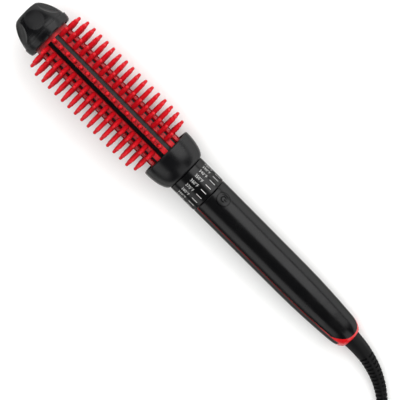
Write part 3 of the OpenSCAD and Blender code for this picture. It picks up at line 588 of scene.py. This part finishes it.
def bend_relief(sizes, colours):
    """Bend relief: a smooth root, then a taper with grooves in its sides between two spines."""
    start, stop = TAIL_POINT, Vector(LEAD_POINTS[0])
    leave = start + AXIS * RELIEF_REACH
    arrive = stop - (Vector(LEAD_POINTS[1]) - stop).normalized() * RELIEF_REACH

    def centre(t):
        a, b, c, d = (1 - t) ** 3, 3 * t * (1 - t) ** 2, 3 * t * t * (1 - t), t ** 3
        return start * a + leave * b + arrive * c + stop * d

    def heading(t):
        if t <= 0:
            return AXIS.copy()
        return (centre(min(1, t + 0.01)) - centre(t - 0.01)).normalized()

    stations = {0, 0.004, 0.012, 0.05, 0.1, 0.15, 0.2, 0.23, 0.985, 0.995, 1.0}
    for k in range(RELIEF_RIBS):
        for part in (0, 0.06, 0.12, 0.18, 0.44, 0.50, 0.56, 0.8):
            stations.add(RELIEF_SMOOTH + (1 - RELIEF_SMOOTH) * (k + part) / RELIEF_RIBS)
    side = FRONT.copy()
    rings = []
    for t in sorted(stations):
        way = heading(t)
        side = (side - way * side.dot(way)).normalized()
        other = way.cross(side)
        radius = sizes.relief_diameter / 2
        radius += (sizes.relief_end - sizes.relief_diameter) / 2 * t ** 0.85
        # small chamfers at both ends
        if t < 0.004:
            radius -= 0.4 * MM
        if t > 0.99:
            radius -= (0.2 if t < 1 else 0.6) * MM
        part = 0
        if RELIEF_SMOOTH <= t < 0.985:
            part = ((t - RELIEF_SMOOTH) / (1 - RELIEF_SMOOTH) * RELIEF_RIBS) % 1
        groove = ease(part / GROOVE_FULL)
        groove *= 1 - ease((part - GROOVE_RISE) / (GROOVE_END - GROOVE_RISE))
        ring = []
        for k in range(RING_POINTS):
            angle = 2 * math.pi * k / RING_POINTS
            # a groove runs round each side and dies out at the front and back spines
            flank = ease((abs(math.sin(angle)) - 0.14) / 0.12)
            out = math.cos(angle) * side + math.sin(angle) * other
            ring.append(centre(t) + out * (radius - RELIEF_GROOVE * groove * flank))
        rings.append(ring)
    points, faces = loft(rings)
    piece = mesh_piece("bend_relief", points, faces, flexible_pvc(colours), "swivel", sharp=50)
    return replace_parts(piece, "strain_relief")


# From the cord's end to the face that the blades stand on
PLUG_REACH = 52 * MM
# Skin of the plug: distance behind the face, half width and half height in mm, then squareness,
# from 2 for an ellipse to 5.5 for a box with soft corners
PLUG_SHAPE = [
    (51.8, 3.5, 3.5, 2), (48, 3.7, 3.7, 2), (46, 3.8, 3.8, 2), (45.6, 3.2, 3.2, 2),
    (43.6, 3.2, 3.2, 2), (43.2, 4.0, 4.0, 2), (41, 4.1, 4.1, 2), (40.6, 3.4, 3.4, 2),
    (38.6, 3.4, 3.4, 2), (38.2, 4.3, 4.3, 2), (36, 4.4, 4.4, 2), (35.6, 3.7, 3.7, 2),
    (33.6, 3.7, 3.7, 2), (33.2, 4.6, 4.6, 2), (30.5, 4.7, 4.7, 2.2), (29.2, 5.2, 4.9, 2.4),
    (27.5, 6.8, 5.6, 2.8), (24, 7.8, 6.1, 3.2), (20, 8.2, 6.6, 3.6), (15, 8.8, 7.1, 4),
    (11, 9.6, 7.6, 4.4), (7, 11.1, 7.9, 5), (3, 11.3, 7.9, 5.5), (1.2, 11.2, 7.8, 5.5),
    (0.4, 10.9, 7.5, 5.5), (0.02, 10.3, 6.9, 5.5),
]


def plug_moulding(colours):
    """Two-pin plug moulded on the cord: soft corners, finger waist and a ribbed tail."""
    along = Vector((math.cos(PLUG_YAW), math.sin(PLUG_YAW), 0))
    up = Vector((0, 0, 1))
    side = up.cross(along)
    face = Vector(END_POINTS[-1]) + along * PLUG_REACH
    rings = []
    for behind, wide, high, square in PLUG_SHAPE:
        middle = face - along * behind * MM
        ring = []
        for k in range(RING_POINTS):
            angle = 2 * math.pi * k / RING_POINTS
            c, s = math.cos(angle), math.sin(angle)
            x = math.copysign(abs(c) ** (2 / square), c) * wide * MM
            y = math.copysign(abs(s) ** (2 / square), s) * high * MM
            ring.append(middle + side * x + up * y)
        rings.append(ring)
    points, faces = loft(rings)
    piece = mesh_piece("plug_moulding", points, faces, flexible_pvc(colours), "swivel", sharp=55)
    paint(NODES["plug_blades"], rolled_brass())
    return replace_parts(piece, "plug_body")


# Where the tie stands on the coil: the angle round it, and the distance from its centre in mm
TIE_ANGLE = math.radians(275)
TIE_REACH_MM = 33
# The loop round the turns, in mm: half its width, its bottom and top, and its corners' radius
TIE_HALF, TIE_LOW, TIE_TOP, TIE_CORNER = 9.0, 0.25, 18.7, 3.2
# How far the loop's corners stand out past its half width, and the steps round a corner
TIE_SLACK = 0.3
TIE_CORNER_STEPS = 6
# Section of the tie, across and out in mm: a flat paper band with the wire's ridge in its middle
TIE_BAND = [
    (-2.2, 0.0), (-0.5, 0.03), (0.0, 0.2), (0.5, 0.03), (2.2, 0.0), (2.2, -0.12), (-2.2, -0.12),
]
# The twisted ends on top: length, half width and half thickness in mm, and half turns
TWIST_LENGTH, TWIST_WIDE, TWIST_THICK, TWIST_HALF_TURNS = 13, 1.5, 0.35, 6
# Their height over the floor where they start, and how far they rise from there, in mm
TWIST_START, TWIST_RISE = 19.0, 1.6
TWIST_STEPS = 40


def twist_tie():
    """Paper-covered wire tie round the coil, with its two ends twisted on top."""
    out = Vector((math.cos(TIE_ANGLE), math.sin(TIE_ANGLE), 0))
    along = Vector((-math.sin(TIE_ANGLE), math.cos(TIE_ANGLE), 0))
    up = Vector((0, 0, 1))
    middle = Vector((*COIL_CENTRE, 0)) + out * TIE_REACH_MM * MM
    loop = []
    for x, z, start in ((TIE_HALF, TIE_TOP, 0), (-TIE_HALF, TIE_TOP, 90),
                        (-TIE_HALF, TIE_LOW, 180), (TIE_HALF, TIE_LOW, 270)):
        cx = x - math.copysign(TIE_CORNER - TIE_SLACK, x)
        cz = z - math.copysign(TIE_CORNER, z - TIE_TOP / 2)
        for k in range(TIE_CORNER_STEPS + 1):
            a = math.radians(start + 90 * k / TIE_CORNER_STEPS)
            loop.append((cx + TIE_CORNER * math.cos(a), cz + TIE_CORNER * math.sin(a)))
    points = []
    for k in range(len(loop)):
        px, pz = loop[k - 1]
        nx, nz = loop[(k + 1) % len(loop)]
        tx, tz = nx - px, nz - pz
        size = math.hypot(tx, tz)
        normal = (tz / size, -tx / size)
        for w, h in TIE_BAND:
            x, z = loop[k][0] + normal[0] * h, loop[k][1] + normal[1] * h
            points.append(middle + out * x * MM + up * z * MM + along * w * MM)
    size = len(TIE_BAND)
    faces = []
    for r in range(len(loop)):
        m = (r + 1) % len(loop)
        for k in range(size):
            n = (k + 1) % size
            faces.append((r * size + k, r * size + n, m * size + n, m * size + k))
    twist = []
    for k in range(TWIST_STEPS + 1):
        t = k / TWIST_STEPS
        turn = TWIST_HALF_TURNS * math.pi * t
        centre = middle + up * (TWIST_START + TWIST_RISE * ease(t * 3)) * MM
        centre += along * TWIST_LENGTH * t * MM
        across = (out * math.cos(turn) + up * math.sin(turn)) * TWIST_WIDE * MM
        thin = (up * math.cos(turn) - out * math.sin(turn)) * TWIST_THICK * MM
        twist.append([centre + across * a + thin * b
                      for a, b in ((-1, -1), (1, -1), (1, 1), (-1, 1))])
    add_skin(points, faces, twist)
    # Kraft paper on wire: off-white and dry, with a fibrous grain
    paper = surface_finish("paper_coated_wire", linear("#E6E6E0"), 0.75, 0.4, 0.03, tone=0.1)
    piece = mesh_piece("twist_tie", points, faces, paper, "swivel", sharp=35)
    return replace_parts(piece, "cord_tie")


# ---- Barrel, cap and collar ----


class STYLINGBRUSH_OT_barrel(Operator):
    """Barrel, bristle strips and silicone ring"""

    bl_idname = "styling_brush.barrel"
    bl_label = "Barrel and bristles"

    def execute(self, context):
        colours = context.scene.styling_brush_colours
        rubber = moulded_silicone(colours)
        for name, node in NODES.items():
            if name.startswith("bristle_strip") or name == "silicone_tip_ring":
                paint(node, rubber)
        paint(NODES["barrel_tube"], ceramic_coat(colours))
        return {"FINISHED"}


class STYLINGBRUSH_OT_cap_and_collar(Operator):
    """Cool tip cap, collar and barrel socket"""

    bl_idname = "styling_brush.cap_and_collar"
    bl_label = "Cap and collar"

    def execute(self, context):
        nylon = textured_nylon(context.scene.styling_brush_colours)
        for name in ("tip_cap", "collar", "barrel_socket"):
            paint(NODES[name], nylon)
        return {"FINISHED"}


# ---- Handle and button ----

# How far the power sign stands out of the button's face, and how deep its foot is sunk in it
SIGN_RISE = 0.2 * MM
SIGN_FOOT = 0.1 * MM
# Half the gap in the sign's ring, in degrees
SIGN_GAP = 38
SIGN_ARC_STEPS = 40
SIGN_BAR_STEPS = 8


class STYLINGBRUSH_OT_handle(Operator):
    """Handle shells, red trim and button, with the raised power sign"""

    bl_idname = "styling_brush.handle"
    bl_label = "Handle and button"

    def execute(self, context):
        sizes = context.scene.styling_brush_sizes
        colours = context.scene.styling_brush_colours
        gloss = polished_abs(colours)
        for name in ("handle_front_cover", "handle_rear_shell", "power_button"):
            paint(NODES[name], gloss)
        paint(NODES["red_trim"], glossy_trim(colours))
        power_sign(sizes, etched_abs(colours))
        return {"FINISHED"}


def power_sign(sizes, material):
    """A raised ring, open towards the tail, with a bar in its gap."""
    outer = sizes.sign_diameter / 2
    inner = outer - sizes.sign_stroke
    half = sizes.sign_stroke / 2
    turns = [math.radians(SIGN_GAP + (360 - 2 * SIGN_GAP) * k / SIGN_ARC_STEPS)
             for k in range(SIGN_ARC_STEPS + 1)]
    ring_strip = [[(r * math.cos(a), r * math.sin(a)) for r in (outer, inner)] for a in turns]
    bar_strip = [[(x, half), (x, -half)] for x in
                 [outer * (0.15 + 1.05 * k / SIGN_BAR_STEPS) for k in range(SIGN_BAR_STEPS + 1)]]
    points, faces = [], []
    for strip in (ring_strip, bar_strip):
        rings = []
        for (ax, ay), (bx, by) in strip:
            ring = []
            for x, y, h in ((ax, ay, -SIGN_FOOT), (ax, ay, SIGN_RISE),
                            (bx, by, SIGN_RISE), (bx, by, -SIGN_FOOT)):
                out = math.sqrt((BUTTON_RADIUS + h) ** 2 - y * y)
                ring.append(DIAL_CENTRE + AXIS * (BUTTON_PLACE + x - DIAL_MIDDLE)
                            + COVER_OUT * out + COVER_SIDE * y)
            rings.append(ring)
        add_skin(points, faces, rings)
    sign = mesh_piece("power_sign", points, faces, material, "button", sharp=40)
    return sign


# ---- Dial ----

# From one marked temperature to the next round the dial, and how far the middle one is turned
DIAL_STEP = math.radians(18)
DIAL_TURN = math.radians(3)
# Along the dial from its start: where the numbers and the marks begin, and how long a number is
NUMBER_START = 5.0 * MM
NUMBER_LENGTH = 7.0 * MM
MARK_START = 14.9 * MM
# How deep the print's foot is sunk in the dial
PRINT_FOOT = 0.01 * MM
# A capital's height as a share of the font's size
CAPITAL_SHARE = 0.70


class STYLINGBRUSH_OT_dial(Operator):
    """Temperature dial with its printed numbers and marks"""

    bl_idname = "styling_brush.dial"
    bl_label = "Temperature dial"

    def execute(self, context):
        sizes = context.scene.styling_brush_sizes
        colours = context.scene.styling_brush_colours
        paint(NODES["temperature_dial"], polished_abs(colours))
        work = bmesh.new()
        for k in range(sizes.number_count):
            angle = DIAL_TURN + DIAL_STEP * (k - (sizes.number_count - 1) / 2)
            text = "%d°F" % (sizes.first_number + sizes.number_step * k)
            self.print_number(work, context, sizes, text, angle)
            self.print_mark(work, sizes, angle)
        mesh = bpy.data.meshes.new("dial_print")
        bmesh.ops.recalc_face_normals(work, faces=work.faces)
        work.to_mesh(mesh)
        work.free()
        piece = bpy.data.objects.new("dial_print", mesh)
        context.scene.collection.objects.link(piece)
        paint(piece, printed_ink(colours))
        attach(piece, "dial")
        return {"FINISHED"}

    @staticmethod
    def wrap(place, across, height, angle):
        """Point on the dial from a place on it, a distance round it and a height over it."""
        return on_brush(DIAL_START + place, DIAL_RADIUS + height, angle - across / DIAL_RADIUS)

    def print_number(self, work, context, sizes, text, angle):
        """Adds one number to the print, bent round the dial."""
        data = bpy.data.curves.new("number", "FONT")
        data.body = text
        data.size = sizes.print_height / CAPITAL_SHARE
        data.extrude = sizes.print_thickness / 2
        data.resolution_u = 2
        data.align_y = "CENTER"
        data.space_character = 1.05
        # a little thinner than the font, so that the numbers' holes stay open
        data.offset = -0.03 * MM
        letters = bpy.data.objects.new("number", data)
        context.scene.collection.objects.link(letters)
        bpy.context.view_layer.update()
        graph = context.evaluated_depsgraph_get()
        mesh = bpy.data.meshes.new_from_object(letters.evaluated_get(graph))
        part = bmesh.new()
        part.from_mesh(mesh)
        bmesh.ops.remove_doubles(part, verts=part.verts, dist=1e-7)
        # cuts along the text, so that it bends smoothly
        for cut in range(-3, 4):
            bmesh.ops.bisect_plane(part, geom=part.verts[:] + part.edges[:] + part.faces[:],
                                   plane_co=(0, sizes.print_height * cut / 6, 0),
                                   plane_no=(0, 1, 0))
        wide = max(v.co.x for v in part.verts)
        low = min(v.co.y for v in part.verts)
        high = max(v.co.y for v in part.verts)
        squeeze = NUMBER_LENGTH / wide
        for v in part.verts:
            v.co = self.wrap(NUMBER_START + v.co.x * squeeze, v.co.y - (low + high) / 2,
                             v.co.z + sizes.print_thickness / 2 - PRINT_FOOT, angle)
        part.to_mesh(mesh)
        part.free()
        work.from_mesh(mesh)
        bpy.data.meshes.remove(mesh)
        bpy.data.objects.remove(letters)
        bpy.data.curves.remove(data)

    def print_mark(self, work, sizes, angle):
        """Adds one mark to the print, a thin bar along the dial."""
        half = sizes.tick_width / 2
        section = ((-half, -PRINT_FOOT), (half, -PRINT_FOOT),
                   (half, sizes.print_thickness), (-half, sizes.print_thickness))
        first, last = [
            [work.verts.new(self.wrap(place, across, height, angle)) for across, height in section]
            for place in (MARK_START, MARK_START + sizes.tick_length)
        ]
        for k in range(4):
            n = (k + 1) % 4
            work.faces.new((first[k], first[n], last[n], last[k]))
        work.faces.new(first[::-1])
        work.faces.new(last)


# ---- Inner pieces, panel and registration ----


class STYLINGBRUSH_OT_inner_pieces(Operator):
    """Finishes of the heater, switch, board and swivel pieces"""

    bl_idname = "styling_brush.inner_pieces"
    bl_label = "Inner pieces"

    def execute(self, context):
        for name, material in inner_finishes().items():
            paint(NODES[name], material)
        return {"FINISHED"}


class STYLINGBRUSH_PT_panel(Panel):
    """Lists the piece groups in the order that they are made"""

    bl_idname = "STYLINGBRUSH_PT_panel"
    bl_label = "Styling Brush"
    bl_space_type = "VIEW_3D"
    bl_region_type = "UI"
    bl_category = "Styling Brush"

    def draw(self, context):
        layout = self.layout
        for operator in OPERATORS:
            layout.operator(operator.bl_idname)
        for group in (context.scene.styling_brush_sizes, context.scene.styling_brush_colours):
            box = layout.box()
            for name in group.bl_rna.properties.keys():
                if name not in ("rna_type", "name"):
                    box.prop(group, name)


OPERATORS = (
    STYLINGBRUSH_OT_stage, STYLINGBRUSH_OT_cord, STYLINGBRUSH_OT_barrel,
    STYLINGBRUSH_OT_cap_and_collar, STYLINGBRUSH_OT_handle, STYLINGBRUSH_OT_dial,
    STYLINGBRUSH_OT_inner_pieces,
)
CLASSES = (StylingBrushSizes, StylingBrushColours, *OPERATORS, STYLINGBRUSH_PT_panel)


def register():
    for cls in CLASSES:
        bpy.utils.register_class(cls)
    bpy.types.Scene.styling_brush_sizes = PointerProperty(type=StylingBrushSizes)
    bpy.types.Scene.styling_brush_colours = PointerProperty(type=StylingBrushColours)


def unregister():
    del bpy.types.Scene.styling_brush_colours
    del bpy.types.Scene.styling_brush_sizes
    for cls in reversed(CLASSES):
        bpy.utils.unregister_class(cls)


def main():
    register()
    bpy.ops.styling_brush.stage()
    bpy.ops.styling_brush.cord()
    bpy.ops.styling_brush.barrel()
    bpy.ops.styling_brush.cap_and_collar()
    bpy.ops.styling_brush.handle()
    bpy.ops.styling_brush.dial()
    bpy.ops.styling_brush.inner_pieces()


if __name__ == "__main__":
    main()
